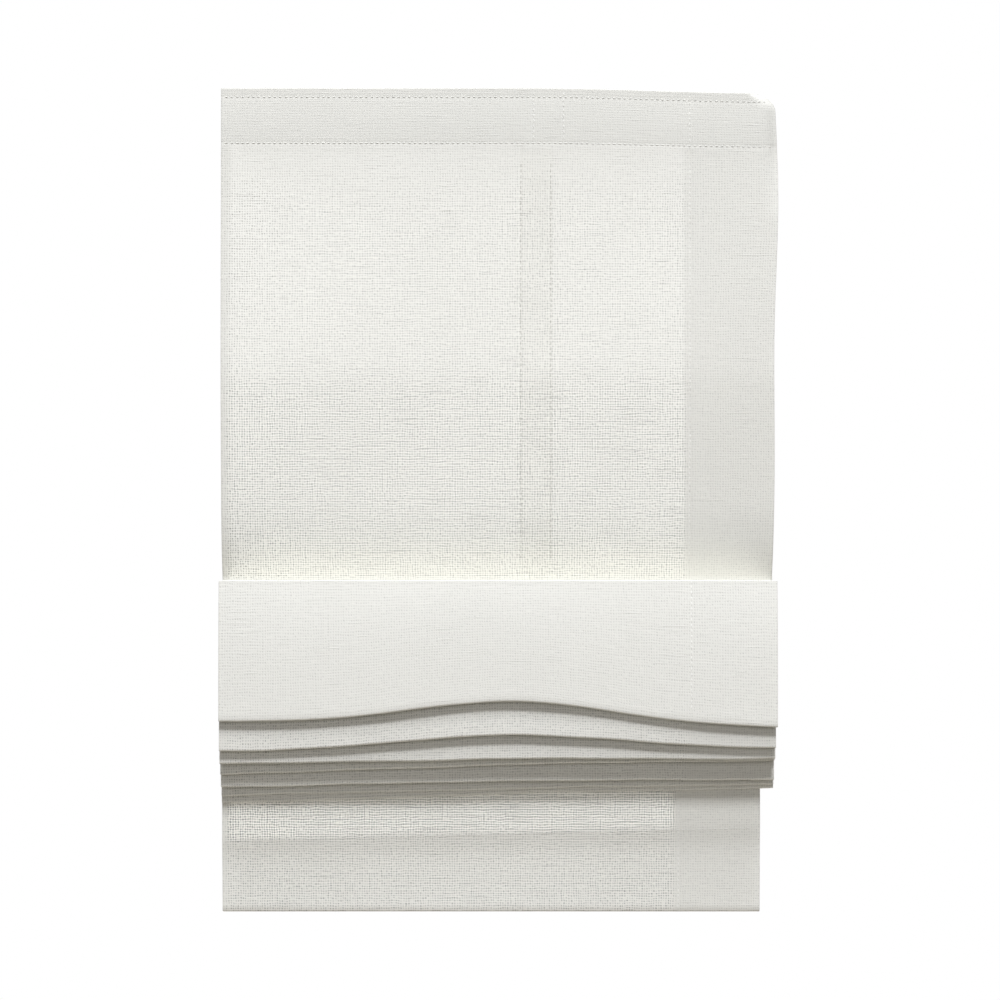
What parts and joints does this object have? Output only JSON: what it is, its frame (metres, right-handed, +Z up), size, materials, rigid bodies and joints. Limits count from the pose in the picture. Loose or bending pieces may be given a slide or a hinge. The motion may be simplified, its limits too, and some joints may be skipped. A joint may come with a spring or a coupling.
{
  "type": "roman blind",
  "caption": "Raised roman blind: linen cloth with stitched heading and hems gathered in deep folds on rods, hung on a spring-lifted head rail with wall brackets.",
  "frame": {"origin": "middle of the four wall screws, on the wall plane behind the head rail", "axes": "+X along the rail to the viewer's right, +Y towards the wall (the cloth's face looks along -Y), +Z up"},
  "size_m": [0.43, 0.0758, 0.6447],
  "materials": {
    "linen": "loose plain weave, white",
    "woven_tape": "narrow woven tape",
    "aluminium": "extruded, satin anodised",
    "glass_fibre": "pultruded rod",
    "cord": "braided polyester",
    "white_steel": "powder coated",
    "spring_steel": "rolled",
    "white_plastic": "moulded"
  },
  "bodies": {
    "frame": {"head_rail": "aluminium", "end_cap_left": "white_plastic", "end_cap_right": "white_plastic", "wall_bracket_left": "white_steel", "wall_bracket_right": "white_steel", "hook_tape": "woven_tape", "loop_tape": "woven_tape", "cloth": "linen", "back_tape": "woven_tape", "rod_1": "glass_fibre", "rod_2": "glass_fibre", "rod_3": "glass_fibre", "rod_4": "glass_fibre", "rod_5": "glass_fibre", "rod_6": "glass_fibre", "rod_7": "glass_fibre", "rod_8": "glass_fibre", "rod_sleeve_1": "woven_tape", "rod_sleeve_2": "woven_tape", "rod_sleeve_3": "woven_tape", "rod_sleeve_4": "woven_tape", "rod_sleeve_5": "woven_tape", "rod_sleeve_6": "woven_tape", "rod_sleeve_7": "woven_tape", "rod_sleeve_8": "woven_tape", "ring_clips": "white_plastic", "bottom_bar": "aluminium", "lift_cord": "cord", "spool_cradle": "white_plastic", "spring_case": "white_plastic", "storage_pin": "spring_steel", "spring_ribbon": "spring_steel"},
    "lift": {"lift_shaft": "aluminium", "cord_spool": "white_plastic", "output_drum": "white_plastic"},
    "spring_store": {"storage_drum": "white_plastic"}
  },
  "joints": [
    {"name": "lift_turn", "type": "hinge", "parent": "frame", "child": "lift", "pos_m": [0, -0.023, 0.0055], "axis": [1, 0, 0], "range_deg": [-12207, 0]},
    {"name": "store_turn", "type": "hinge", "parent": "frame", "child": "spring_store", "pos_m": [0, -0.023, -0.0095], "axis": [1, 0, 0], "range_deg": [0, 12207]}
  ],
  "couplings": [
    {"joint": "store_turn", "follows": "lift_turn", "ratio": -1}
  ]
}
